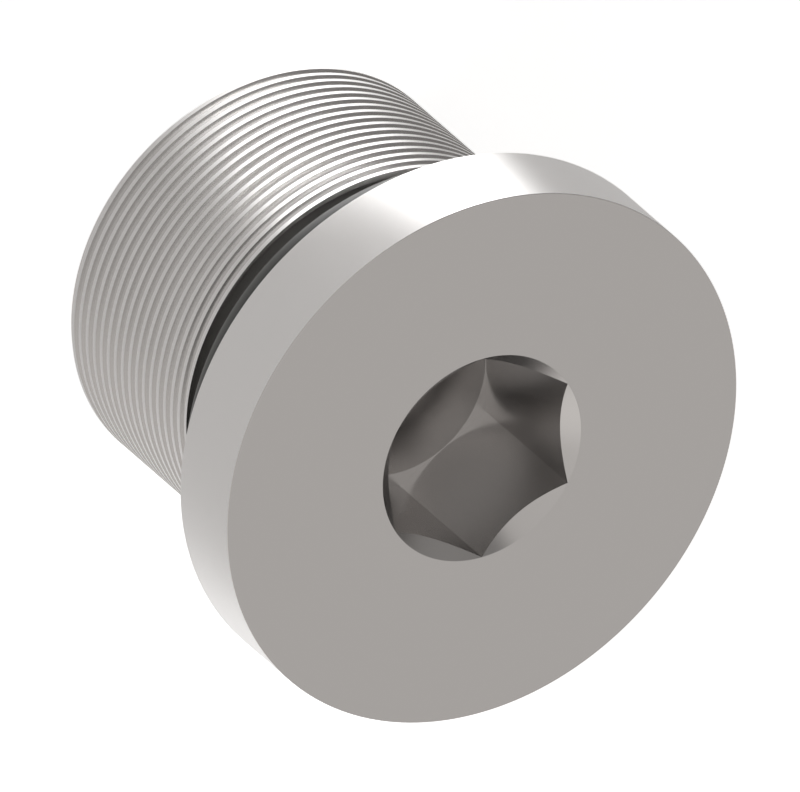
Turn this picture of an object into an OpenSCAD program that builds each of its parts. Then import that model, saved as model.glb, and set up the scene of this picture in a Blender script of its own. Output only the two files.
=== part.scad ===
// Screw plug with a round head, a hexagon socket and a rubber sealing ring under the head.
// The body is one turned piece: head, neck, threaded shank, and a hexagon broached into a drilled hole.
// It stands on the threaded end, with the end face at z = 0 and the head on top.

/* [Head] */
// Diameter of the head
head_d = 62.6; // [58:0.1:80]
// Thickness of the head
head_h = 10; // [5:0.1:16]
// Chamfer that breaks the head's two outer edges
edge_break = 0.1; // [0.05:0.05:0.5]

/* [Neck] */
// Diameter of the plain neck between head and thread
neck_d = 41.8; // [38:0.1:44]
// Length of the plain neck
neck_h = 11.4; // [9:0.1:16]

/* [Thread] */
// Outer diameter of the thread
thread_d = 48; // [46:0.1:54]
// Length of the threaded shank, its end chamfer included
thread_h = 25.9; // [12:0.1:40]
// Pitch of the thread
thread_pitch = 1.5; // [1.3:0.1:2]
// Depth of the thread groove
thread_depth = 0.81; // [0.5:0.01:0.95]
// Angle between the groove's two flanks
thread_angle = 60; // [50:1:62]
// Height of the first groove's root above the end face
thread_start = 0.88; // [0:0.01:1.5]
// Chamfer at the free end of the thread
end_chamfer = 1; // [0.5:0.1:2]

/* [Hexagon socket] */
// Width across the flats of the key
key_af = 21; // [17:0.5:24]
// Play between key and socket, across the flats
key_play = 0.1; // [0.05:0.01:0.3]
// Depth of the hexagon from the head's face
key_depth = 17.5; // [8:0.1:20]
// Angle of the countersink at the mouth
mouth_angle = 90; // [80:1:120]
// Step between the flats and the drilled hole below them
drill_step = 0.05; // [0.03:0.01:0.5]
// Depth of the drilled hole's straight wall from the head's face
drill_depth = 26.5; // [21:0.1:30]
// Point angle of the drill
drill_angle = 118; // [100:1:140]

/* [Sealing ring] */
// Thickness of the ring's round section
ring_section = 7; // [5:0.1:8]
// Play between the ring and the neck and head that hold it
ring_play = 0.1; // [0.05:0.01:0.3]

/* [Hidden] */
$fn = 144;

head_r = head_d / 2;
neck_r = neck_d / 2;
thread_r = thread_d / 2;
seat_z = thread_h + neck_h;
top_z = seat_z + head_h;

// The socket's cutters stand this far above the head's face.
overcut = 0.5;

// The mouth of the countersink is the circle through the hexagon's corners.
socket_af = key_af + key_play;
corner_r = socket_af / sqrt(3);
drill_r = socket_af / 2 - drill_step;

// The thread is cut as V grooves one pitch apart, each a ring round the shank.
groove_overcut = 0.05;
groove_open_r = thread_r + groove_overcut;
groove_root_r = thread_r - thread_depth;
groove_half_w = (groove_open_r - groove_root_r) * tan(thread_angle / 2);
groove_last = floor((thread_h + groove_half_w - thread_start) / thread_pitch);

ring_r = neck_r + ring_play + ring_section / 2;
ring_z = seat_z - ring_play - ring_section / 2;

module thread_grooves() {
    for (i = [0 : groove_last])
        translate([0, 0, thread_start + i * thread_pitch])
            rotate_extrude() polygon([
                [groove_root_r, 0],
                [groove_open_r, -groove_half_w],
                [groove_open_r, groove_half_w],
            ]);
}

// Half section of the turned body, before its thread and socket are cut.
module body_profile() {
    polygon([
        [0, 0],
        [thread_r - end_chamfer, 0],
        [thread_r, end_chamfer],
        [thread_r, thread_h],
        [neck_r, thread_h],
        [neck_r, seat_z],
        [head_r - edge_break, seat_z],
        [head_r, seat_z + edge_break],
        [head_r, top_z - edge_break],
        [head_r - edge_break, top_z],
        [0, top_z],
    ]);
}

// The straight hole that is drilled first, with the cone that the drill's point leaves.
module drilled_hole() {
    point_h = drill_r / tan(drill_angle / 2);
    translate([0, 0, top_z - drill_depth])
        cylinder(r = drill_r, h = drill_depth);
    translate([0, 0, top_z - drill_depth - point_h])
        cylinder(r1 = 0, r2 = drill_r, h = point_h);
}

module hexagon_socket() {
    translate([0, 0, top_z - key_depth])
        cylinder(r = corner_r, h = key_depth + overcut, $fn = 6);
    // Countersink, from the circle through the corners down to the flats
    sink_h = corner_r / tan(mouth_angle / 2);
    translate([0, 0, top_z - sink_h])
        cylinder(r1 = 0, r2 = corner_r * (1 + overcut / sink_h), h = sink_h + overcut);
}

module plug_body() {
    color("darkgray")
    difference() {
        rotate_extrude() body_profile();
        thread_grooves();
        drilled_hole();
        hexagon_socket();
    }
}

module sealing_ring() {
    color("dimgray")
    translate([0, 0, ring_z])
        rotate_extrude() translate([ring_r, 0]) circle(d = ring_section);
}

plug_body();
sealing_ring();
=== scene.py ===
"""Looks of a screw plug with a round head, a hexagon socket and a rubber sealing ring under the head.

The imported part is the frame. The turned body gets its wound thread here, and both pieces get their finish.
Lengths are in metres in the row frame: the end face is at z = 0 and the head on top.
"""

import logging
import math
from dataclasses import dataclass
from enum import Enum
from typing import Protocol

import bmesh
import bpy
from mathutils import Matrix, Vector

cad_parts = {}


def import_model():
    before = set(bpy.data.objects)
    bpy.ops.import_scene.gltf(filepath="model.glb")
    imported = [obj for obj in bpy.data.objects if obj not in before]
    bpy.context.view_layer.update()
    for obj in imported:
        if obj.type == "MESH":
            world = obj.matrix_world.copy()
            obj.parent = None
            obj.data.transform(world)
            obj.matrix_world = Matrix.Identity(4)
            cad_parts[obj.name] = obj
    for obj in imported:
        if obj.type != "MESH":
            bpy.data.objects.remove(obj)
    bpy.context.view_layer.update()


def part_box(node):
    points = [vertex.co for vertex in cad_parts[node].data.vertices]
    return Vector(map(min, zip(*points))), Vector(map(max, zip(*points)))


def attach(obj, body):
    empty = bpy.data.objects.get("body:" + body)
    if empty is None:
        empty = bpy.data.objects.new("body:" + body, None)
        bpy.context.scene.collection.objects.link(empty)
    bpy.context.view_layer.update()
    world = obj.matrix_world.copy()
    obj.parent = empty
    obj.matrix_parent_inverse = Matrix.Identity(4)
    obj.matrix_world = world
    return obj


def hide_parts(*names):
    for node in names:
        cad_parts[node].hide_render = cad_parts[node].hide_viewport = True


LOG = logging.getLogger("plug")
BODY = "root"
MM = 0.001
FULL_TURN = 2 * math.pi
Z_AXIS = Vector((0, 0, 1))

MERGE = 0.001 * MM

Colour = tuple[float, float, float]


class Node(Enum):
    """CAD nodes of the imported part."""

    BODY = "plug_body"
    RING = "sealing_ring"


class Slot(Enum):
    """Material slots of the record."""

    STEEL = "stainless_steel"
    RUBBER = "rubber"


class Rays(Enum):
    """Outputs of the Light Path node for rays that see the floor's glow."""

    CAMERA = "Is Camera Ray"
    GLOSSY = "Is Glossy Ray"
    TRANSMISSION = "Is Transmission Ray"


class Finish(Protocol):
    """Anything that can make a material."""

    def build(self) -> bpy.types.Material:
        """Returns: the finished material."""


def new_material(name: str) -> tuple[bpy.types.Material, bpy.types.NodeTree]:
    """Makes an empty node material.

    Args:
        name: the material's name.
    Returns:
        The material and its node tree.
    """
    material = bpy.data.materials.new(name)
    material.use_nodes = True
    material.node_tree.nodes.clear()
    return material, material.node_tree


@dataclass(frozen=True)
class SatinSteel:
    """Turned stainless steel with a satin sheen and faint tool marks round the axis."""

    colour: Colour = (0.780, 0.768, 0.760)
    roughness: float = 0.25
    roughness_spread: float = 0.03
    mark_pitch: float = 0.12 * MM
    mark_depth: float = 0.0004 * MM

    def build(self) -> bpy.types.Material:
        """Makes the material.

        Returns:
            A metal whose roughness and bump follow rings round the axis.
        """
        material, tree = new_material("satin_steel")
        nodes, links = tree.nodes, tree.links
        marks = self._marks(tree)
        spread = nodes.new("ShaderNodeMapRange")
        spread.inputs["To Min"].default_value = self.roughness - self.roughness_spread
        spread.inputs["To Max"].default_value = self.roughness + self.roughness_spread
        links.new(marks, spread.inputs["Value"])
        bump = nodes.new("ShaderNodeBump")
        bump.inputs["Distance"].default_value = self.mark_depth
        links.new(marks, bump.inputs["Height"])
        shader = nodes.new("ShaderNodeBsdfPrincipled")
        shader.inputs["Base Color"].default_value = (*self.colour, 1)
        shader.inputs["Metallic"].default_value = 1
        links.new(spread.outputs["Result"], shader.inputs["Roughness"])
        links.new(bump.outputs["Normal"], shader.inputs["Normal"])
        output = nodes.new("ShaderNodeOutputMaterial")
        links.new(shader.outputs["BSDF"], output.inputs["Surface"])
        return material

    def _marks(self, tree: bpy.types.NodeTree) -> bpy.types.NodeSocket:
        """Adds fine noise over radius and height, which makes rings round the axis.

        Args:
            tree: the material's node tree.
        Returns:
            The output that holds the noise, about 0 to 1.
        """
        nodes, links = tree.nodes, tree.links
        place = nodes.new("ShaderNodeTexCoord")
        split = nodes.new("ShaderNodeSeparateXYZ")
        flat = nodes.new("ShaderNodeCombineXYZ")
        radius = nodes.new("ShaderNodeVectorMath")
        radius.operation = "LENGTH"
        rings = nodes.new("ShaderNodeCombineXYZ")
        noise = nodes.new("ShaderNodeTexNoise")
        noise.noise_dimensions = "2D"
        noise.inputs["Scale"].default_value = 1 / self.mark_pitch
        noise.inputs["Detail"].default_value = 2
        links.new(place.outputs["Object"], split.inputs[0])
        links.new(split.outputs["X"], flat.inputs["X"])
        links.new(split.outputs["Y"], flat.inputs["Y"])
        links.new(flat.outputs[0], radius.inputs[0])
        links.new(radius.outputs["Value"], rings.inputs["X"])
        links.new(split.outputs["Z"], rings.inputs["Y"])
        links.new(rings.outputs[0], noise.inputs["Vector"])
        return noise.outputs["Fac"]


@dataclass(frozen=True)
class BlackRubber:
    """Moulded black rubber, slightly shiny where it is seen at a low angle."""

    colour: Colour = (0.075, 0.078, 0.074)
    roughness: float = 0.4
    specular: float = 0.35
    grain: float = 0.3 * MM
    grain_depth: float = 0.002 * MM

    def build(self) -> bpy.types.Material:
        """Makes the material.

        Returns:
            A dark plastic shader with a fine grain in its bump.
        """
        material, tree = new_material("black_rubber")
        nodes, links = tree.nodes, tree.links
        place = nodes.new("ShaderNodeTexCoord")
        noise = nodes.new("ShaderNodeTexNoise")
        noise.inputs["Scale"].default_value = 1 / self.grain
        bump = nodes.new("ShaderNodeBump")
        bump.inputs["Distance"].default_value = self.grain_depth
        shader = nodes.new("ShaderNodeBsdfPrincipled")
        shader.inputs["Base Color"].default_value = (*self.colour, 1)
        shader.inputs["Roughness"].default_value = self.roughness
        shader.inputs["Specular IOR Level"].default_value = self.specular
        output = nodes.new("ShaderNodeOutputMaterial")
        links.new(place.outputs["Object"], noise.inputs["Vector"])
        links.new(noise.outputs["Fac"], bump.inputs["Height"])
        links.new(bump.outputs["Normal"], shader.inputs["Normal"])
        links.new(shader.outputs["BSDF"], output.inputs["Surface"])
        return material


@dataclass(frozen=True)
class PaleFloor:
    """Matt pale floor with a glow, as white as the photograph's background."""

    colour: Colour = (0.8, 0.8, 0.8)
    glow: float = 0.74
    reflected_glow: float = 0.28

    def build(self) -> bpy.types.Material:
        """Makes the material.

        Returns:
            A matt shader that takes shadows, plus a glow for the rays that see the background.
        """
        material, tree = new_material("pale_floor")
        nodes, links = tree.nodes, tree.links
        matt = nodes.new("ShaderNodeBsdfDiffuse")
        matt.inputs["Color"].default_value = (*self.colour, 1)
        glow = nodes.new("ShaderNodeEmission")
        links.new(self._strength(tree), glow.inputs["Strength"])
        both = nodes.new("ShaderNodeAddShader")
        links.new(matt.outputs[0], both.inputs[0])
        links.new(glow.outputs[0], both.inputs[1])
        output = nodes.new("ShaderNodeOutputMaterial")
        links.new(both.outputs[0], output.inputs["Surface"])
        return material

    def _strength(self, tree: bpy.types.NodeTree) -> bpy.types.NodeSocket:
        """Adds nodes that set the glow for each kind of ray.

        Args:
            tree: the material's node tree.
        Returns:
            The output that holds the glow's strength.
        """
        path = tree.nodes.new("ShaderNodeLightPath")
        total = None
        for kind, share in (
            (Rays.CAMERA, self.glow),
            (Rays.GLOSSY, self.reflected_glow),
            (Rays.TRANSMISSION, self.reflected_glow),
        ):
            step = tree.nodes.new("ShaderNodeMath")
            step.operation = "MULTIPLY_ADD"
            step.inputs[1].default_value = share
            step.inputs[2].default_value = 0
            tree.links.new(path.outputs[kind.value], step.inputs[0])
            if total:
                tree.links.new(total, step.inputs[2])
            total = step.outputs[0]
        return total


def add_object(
    name: str, mesh: bmesh.types.BMesh, finish: bpy.types.Material | None = None
) -> bpy.types.Object:
    """Turns a bmesh into an object at the origin and frees the bmesh.

    Args:
        name: the object's name.
        mesh: the mesh that is built.
        finish: the material it wears, if any.
    Returns:
        The new object.
    """
    data = bpy.data.meshes.new(name)
    mesh.to_mesh(data)
    mesh.free()
    if finish:
        data.materials.append(finish)
    made = bpy.data.objects.new(name, data)
    bpy.context.scene.collection.objects.link(made)
    return made


def chain(
    mesh: bmesh.types.BMesh, points: list[tuple[float, float]]
) -> list[bmesh.types.BMVert | bmesh.types.BMEdge]:
    """Draws an open line of edges in the XZ plane, as the half section of a turned form.

    Args:
        mesh: the bmesh to draw in.
        points: (radius, height) of each corner.
    Returns:
        The new vertices and edges.
    """
    verts = [mesh.verts.new((radius, 0, height)) for radius, height in points]
    edges = [mesh.edges.new(pair) for pair in zip(verts, verts[1:])]
    return verts + edges


def turn(mesh: bmesh.types.BMesh, points: list[tuple[float, float]], steps: int) -> None:
    """Turns an open half section once round the Z axis.

    Args:
        mesh: the bmesh to build in.
        points: (radius, height) of each corner of the half section.
        steps: flats round the axis.
    """
    line = chain(mesh, points)
    bmesh.ops.spin(mesh, geom=line, cent=(0, 0, 0), axis=Z_AXIS, angle=FULL_TURN, steps=steps, use_merge=True)


def loop_at(mesh: bmesh.types.BMesh, height: float) -> list[bmesh.types.BMEdge]:
    """Finds the open edges that lie in one level.

    Args:
        mesh: the bmesh to look in.
        height: the level.
    Returns:
        The boundary edges with both ends at that height.
    """
    return [
        edge for edge in mesh.edges
        if edge.is_boundary and all(abs(vert.co.z - height) < MERGE for vert in edge.verts)
    ]


@dataclass
class Thread:
    """External V thread with flat crests, wound right-handed round the shank."""

    radius: float = 24 * MM
    length: float = 25.9 * MM
    pitch: float = 1.5 * MM
    depth: float = 0.81 * MM
    flank_angle: float = math.radians(60)
    start: float = 1.09 * MM
    end_chamfer: float = 1 * MM
    crest_parts: int = 4
    steps: int = 256

    def build(self, mesh: bmesh.types.BMesh) -> None:
        """Winds the thread and cuts it off square at both ends.

        Args:
            mesh: the bmesh to build in. The thread is left open at z = 0 and at its length.
        """
        line = chain(mesh, self._section())
        rise = Z_AXIS * (self.pitch / self.steps)
        bmesh.ops.spin(
            mesh, geom=line, cent=(0, 0, 0), axis=Z_AXIS, dvec=rise, angle=FULL_TURN, steps=self.steps
        )
        bmesh.ops.remove_doubles(mesh, verts=mesh.verts, dist=2 * MERGE)
        for level, side in ((0, -Z_AXIS), (self.length, Z_AXIS)):
            geom = [*mesh.verts, *mesh.edges, *mesh.faces]
            bmesh.ops.bisect_plane(mesh, geom=geom, plane_co=Z_AXIS * level, plane_no=side, clear_outer=True)
        self._chamfer(mesh)

    def _section(self) -> list[tuple[float, float]]:
        """Works out the half section of all turns, from below the end face to above the shank.

        Returns:
            (radius, height) of each corner, going up.
        """
        half_groove = self.depth * math.tan(self.flank_angle / 2)
        crest = self.pitch - 2 * half_groove
        points = []
        turns = math.ceil(self.length / self.pitch) + 2
        for number in range(-2, turns):
            root = self.start + number * self.pitch
            points.append((self.radius - self.depth, root))
            points.extend(
                (self.radius, root + half_groove + crest * part / self.crest_parts)
                for part in range(self.crest_parts + 1)
            )
        return points

    def _chamfer(self, mesh: bmesh.types.BMesh) -> None:
        """Pulls the crests near the end face in to the cone of the end chamfer.

        Args:
            mesh: the bmesh that holds the thread.
        """
        for vert in mesh.verts:
            radius = vert.co.to_2d().length
            cone = self.radius - self.end_chamfer + vert.co.z
            if vert.co.z < self.end_chamfer and radius > cone:
                vert.co.xy *= cone / radius


@dataclass
class HexagonSocket:
    """Cutters for the socket: a drilled hole, the hexagon broached into it and the countersink."""

    top: float
    across_flats: float = 21.1 * MM
    depth: float = 17.5 * MM
    mouth_angle: float = math.radians(90)
    drill_step: float = 0.05 * MM
    drill_depth: float = 26.5 * MM
    drill_angle: float = math.radians(118)
    overcut: float = 0.5 * MM
    steps: int = 192

    @property
    def corner_radius(self) -> float:
        """Distance from the axis to the hexagon's corners."""
        return self.across_flats / math.sqrt(3)

    def build(self) -> list[bpy.types.Object]:
        """Makes the three cutters, each a closed solid.

        Returns:
            The hexagon, the countersink and the drilled hole.
        """
        return [self._hexagon(), self._countersink(), self._drill()]

    def _hexagon(self) -> bpy.types.Object:
        """Returns: a prism with corners on the X axis."""
        mesh = bmesh.new()
        height = self.depth + self.overcut
        middle = Matrix.Translation((0, 0, self.top + self.overcut - height / 2))
        bmesh.ops.create_cone(
            mesh, cap_ends=True, segments=6, radius1=self.corner_radius, radius2=self.corner_radius,
            depth=height, matrix=middle @ Matrix.Rotation(math.pi / 6, 4, "Z"),
        )
        return add_object("cutter_hexagon", mesh)

    def _countersink(self) -> bpy.types.Object:
        """Returns: a cone that opens upward and leaves the mouth as a circle through the corners."""
        mesh = bmesh.new()
        fall = self.corner_radius / math.tan(self.mouth_angle / 2)
        wide = self.corner_radius * (1 + self.overcut / fall)
        bmesh.ops.create_cone(
            mesh, cap_ends=True, segments=self.steps, radius1=0, radius2=wide, depth=fall + self.overcut,
            matrix=Matrix.Translation((0, 0, self.top - fall + (fall + self.overcut) / 2)),
        )
        return add_object("cutter_countersink", mesh)

    def _drill(self) -> bpy.types.Object:
        """Returns: the straight hole with the cone that the drill's point leaves."""
        mesh = bmesh.new()
        radius = self.across_flats / 2 - self.drill_step
        bottom = self.top - self.drill_depth
        point = radius / math.tan(self.drill_angle / 2)
        section = [(0, bottom - point), (radius, bottom), (radius, self.top - self.overcut), (0, self.top)]
        turn(mesh, section, self.steps)
        bmesh.ops.remove_doubles(mesh, verts=mesh.verts, dist=MERGE)
        bmesh.ops.recalc_face_normals(mesh, faces=mesh.faces)
        return add_object("cutter_drill", mesh)


@dataclass
class PlugBody:
    """The turned body: head, neck and threaded shank in one mesh, with the socket cut into it."""

    top: float
    head_radius: float = 31.3 * MM
    head_height: float = 10 * MM
    edge_break: float = 0.05 * MM
    neck_radius: float = 20.9 * MM
    steps: int = 256
    sharp_angle: float = math.radians(20)

    def build(self, finish: Finish) -> bpy.types.Object:
        """Builds the piece and puts it in the place of the CAD body.

        Args:
            finish: the finish it wears.
        Returns:
            The finished object.
        """
        thread = Thread()
        mesh = bmesh.new()
        thread.build(mesh)
        turn(mesh, self._section(thread.length), self.steps)
        bmesh.ops.remove_doubles(mesh, verts=mesh.verts, dist=MERGE / 2)
        bmesh.ops.triangle_fill(mesh, use_beauty=True, edges=loop_at(mesh, thread.length))
        bmesh.ops.holes_fill(mesh, edges=loop_at(mesh, 0) + loop_at(mesh, self.top))
        bmesh.ops.recalc_face_normals(mesh, faces=mesh.faces)
        body = add_object("turned_body", mesh, finish.build())
        self._cut(body, HexagonSocket(self.top).build())
        body.data.shade_smooth()
        body.data.set_sharp_from_angle(angle=self.sharp_angle)
        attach(body, BODY)
        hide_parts(Node.BODY.value)
        return body

    def _section(self, start: float) -> list[tuple[float, float]]:
        """Works out the half section of neck and head.

        Args:
            start: height of the shank's upper face.
        Returns:
            (radius, height) of each corner, from the neck's foot to the edge of the head's face.
        """
        seat = self.top - self.head_height
        return [
            (self.neck_radius, start),
            (self.neck_radius, seat),
            (self.head_radius - self.edge_break, seat),
            (self.head_radius, seat + self.edge_break),
            (self.head_radius, self.top - self.edge_break),
            (self.head_radius - self.edge_break, self.top),
        ]

    @staticmethod
    def _cut(body: bpy.types.Object, cutters: list[bpy.types.Object]) -> None:
        """Takes the cutters out of the body and deletes them.

        Args:
            body: the object that is cut.
            cutters: closed solids.
        """
        for cutter in cutters:
            step = body.modifiers.new(cutter.name, "BOOLEAN")
            step.operation = "DIFFERENCE"
            step.solver = "EXACT"
            step.object = cutter
        graph = bpy.context.evaluated_depsgraph_get()
        cut = bpy.data.meshes.new_from_object(body.evaluated_get(graph), depsgraph=graph)
        body.modifiers.clear()
        body.data = cut
        for cutter in cutters:
            bpy.data.meshes.remove(cutter.data)


@dataclass
class SealingRing:
    """Round rubber ring on the neck, against the underside of the head."""

    radius: float
    section_radius: float
    height: float
    steps: int = 256
    section_steps: int = 64

    @classmethod
    def from_frame(cls) -> "SealingRing":
        """Takes the ring's sizes from its CAD node.

        Returns:
            A ring of the same size and place.
        """
        low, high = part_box(Node.RING.value)
        section = (high.z - low.z) / 2
        return cls(radius=high.x - section, section_radius=section, height=(high.z + low.z) / 2)

    def build(self, finish: Finish) -> bpy.types.Object:
        """Builds the piece and puts it in the place of the CAD ring.

        Args:
            finish: the finish it wears.
        Returns:
            The finished object.
        """
        mesh = bmesh.new()
        place = Matrix.Translation((self.radius, 0, self.height)) @ Matrix.Rotation(math.pi / 2, 4, "X")
        bmesh.ops.create_circle(mesh, segments=self.section_steps, radius=self.section_radius, matrix=place)
        line = [*mesh.verts, *mesh.edges]
        bmesh.ops.spin(
            mesh, geom=line, cent=(0, 0, 0), axis=Z_AXIS, angle=FULL_TURN, steps=self.steps, use_merge=True
        )
        bmesh.ops.recalc_face_normals(mesh, faces=mesh.faces)
        ring = add_object("rubber_ring", mesh, finish.build())
        ring.data.shade_smooth()
        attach(ring, BODY)
        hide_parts(Node.RING.value)
        return ring


@dataclass(frozen=True)
class FloorLamp:
    """A soft rectangular lamp that hangs low, faces down and lights only the floor and what is matt."""

    name: str
    place: tuple[float, float, float]
    turn: float
    length: float
    width: float
    spread: float
    power: float

    def build(self) -> bpy.types.Object:
        """Makes the lamp.

        Returns:
            The lamp's object.
        """
        data = bpy.data.lights.new(self.name, "AREA")
        data.shape = "RECTANGLE"
        data.size, data.size_y = self.length, self.width
        data.spread = self.spread
        data.energy = self.power
        lamp = bpy.data.objects.new(self.name, data)
        lamp.location = self.place
        lamp.rotation_euler.z = self.turn
        lamp.visible_camera = lamp.visible_glossy = False
        bpy.context.scene.collection.objects.link(lamp)
        return lamp


STRIP_LAMP = FloorLamp(
    name="strip_lamp",
    place=(-39.0 * MM, -37.1 * MM, 20 * MM),
    turn=math.radians(-169),
    length=60 * MM,
    width=34 * MM,
    spread=math.radians(80),
    power=0.0194,
)
FRONT_LAMP = FloorLamp(
    name="front_lamp",
    place=(-44.6 * MM, -151.6 * MM, 50 * MM),
    turn=math.radians(-106),
    length=110 * MM,
    width=110 * MM,
    spread=math.radians(50),
    power=0.028,
)
SIDE_LAMP = FloorLamp(
    name="side_lamp",
    place=(43.5 * MM, 49.6 * MM, 60 * MM),
    turn=math.radians(49),
    length=60 * MM,
    width=60 * MM,
    spread=math.radians(80),
    power=0.0084,
)
LAMPS = (STRIP_LAMP, FRONT_LAMP, SIDE_LAMP)


@dataclass(frozen=True)
class Room:
    """Even room light, brighter on one side, darker on the other and overhead."""

    colour: Colour = (1.0, 0.963, 0.932)
    bright_side: float = math.radians(10.8)
    across: tuple[tuple[float, float], ...] = (
        (-0.95, 0.24), (-0.85, 0.22), (-0.7, 0.17), (-0.45, 0.50), (0.75, 0.52), (0.95, 0.68))
    upward: tuple[tuple[float, float], ...] = ((0.78, 1.0), (0.88, 0.62), (1.0, 0.55))

    def build(self) -> bpy.types.World:
        """Makes the room light and makes it the scene's world.

        Returns:
            The world.
        """
        world = bpy.data.worlds.new("room")
        world.use_nodes = True
        tree = world.node_tree
        nodes, links = tree.nodes, tree.links
        nodes.clear()
        place = nodes.new("ShaderNodeTexCoord")
        side = nodes.new("ShaderNodeVectorMath")
        side.operation = "DOT_PRODUCT"
        side.inputs[1].default_value = (math.cos(self.bright_side), math.sin(self.bright_side), 0)
        split = nodes.new("ShaderNodeSeparateXYZ")
        links.new(place.outputs["Generated"], side.inputs[0])
        links.new(place.outputs["Generated"], split.inputs[0])
        level = nodes.new("ShaderNodeMath")
        level.operation = "MULTIPLY"
        links.new(self._ramp(tree, side.outputs["Value"], self.across), level.inputs[0])
        links.new(self._ramp(tree, split.outputs["Z"], self.upward), level.inputs[1])
        glow = nodes.new("ShaderNodeBackground")
        glow.inputs["Color"].default_value = (*self.colour, 1)
        links.new(level.outputs[0], glow.inputs["Strength"])
        white = nodes.new("ShaderNodeBackground")
        white.inputs["Color"].default_value = (1, 1, 1, 1)
        path = nodes.new("ShaderNodeLightPath")
        seen = nodes.new("ShaderNodeMixShader")
        links.new(path.outputs[Rays.CAMERA.value], seen.inputs[0])
        links.new(glow.outputs[0], seen.inputs[1])
        links.new(white.outputs[0], seen.inputs[2])
        output = nodes.new("ShaderNodeOutputWorld")
        links.new(seen.outputs[0], output.inputs["Surface"])
        bpy.context.scene.world = world
        return world

    @staticmethod
    def _ramp(
        tree: bpy.types.NodeTree, value: bpy.types.NodeSocket, stops: tuple[tuple[float, float], ...]
    ) -> bpy.types.NodeSocket:
        """Adds a ramp over a value from -1 to 1.

        Args:
            tree: the world's node tree.
            value: the output that drives the ramp.
            stops: (value, level) of each stop.
        Returns:
            The output that holds the level.
        """
        unit = tree.nodes.new("ShaderNodeMapRange")
        unit.inputs["From Min"].default_value = -1
        ramp = tree.nodes.new("ShaderNodeValToRGB")
        ramp.color_ramp.interpolation = "EASE"
        points = ramp.color_ramp.elements
        while len(points) < len(stops):
            points.new(position=0.5)
        for point, (at, level) in zip(points, stops):
            point.position = (at + 1) / 2
            point.color = (level, level, level, 1)
        tree.links.new(value, unit.inputs["Value"])
        tree.links.new(unit.outputs["Result"], ramp.inputs["Fac"])
        return ramp.outputs["Color"]


@dataclass(frozen=True)
class Floor:
    """Level floor under the part."""

    size: float = 4.0

    def build(self, finish: Finish) -> bpy.types.Object:
        """Lays the floor.

        Args:
            finish: the finish it wears.
        Returns:
            The floor's object.
        """
        mesh = bmesh.new()
        bmesh.ops.create_grid(mesh, x_segments=1, y_segments=1, size=self.size / 2)
        floor = add_object("floor", mesh, finish.build())
        return floor


@dataclass(frozen=True)
class PhotoCamera:
    """Parallel camera at the photograph's angle."""

    azimuth: float = math.radians(10.8)
    elevation: float = math.radians(48.6)
    roll: float = math.radians(130.96)
    width: float = 85.185 * MM
    aim_right: float = -8.719 * MM
    aim_down: float = -6.615 * MM
    distance: float = 0.5

    def build(self, target: Vector) -> bpy.types.Object:
        """Makes the camera and makes it the scene's camera.

        Args:
            target: the middle of the head's face.
        Returns:
            The camera's object.
        """
        data = bpy.data.cameras.new("photo_camera")
        data.type = "ORTHO"
        data.ortho_scale = self.width
        camera = bpy.data.objects.new("photo_camera", data)
        pose = (
            Matrix.Rotation(self.azimuth, 4, "Z")
            @ Matrix.Rotation(math.pi / 2 - self.elevation, 4, "X")
            @ Matrix.Rotation(self.roll, 4, "Z")
        )
        shift = Vector((self.aim_right, -self.aim_down, self.distance))
        camera.matrix_world = Matrix.Translation(target + pose.to_3x3() @ shift) @ pose
        bpy.context.scene.collection.objects.link(camera)
        bpy.context.scene.camera = camera
        return camera


def main() -> None:
    """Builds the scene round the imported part."""
    logging.basicConfig(level=logging.INFO, format="%(name)s: %(message)s")
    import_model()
    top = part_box(Node.BODY.value)[1].z
    for part, finish in ((PlugBody(top), SatinSteel()), (SealingRing.from_frame(), BlackRubber())):
        made = part.build(finish)
        LOG.info("%s: %d faces", made.name, len(made.data.polygons))
    Floor().build(PaleFloor())
    Room().build()
    for lamp in LAMPS:
        lamp.build()
    LOG.info("floor, room light and %d lamps", len(LAMPS))
    PhotoCamera().build(Z_AXIS * top)
    LOG.info("camera")
    bpy.context.scene.view_settings.view_transform = "Standard"


if __name__ == "__main__":
    main()
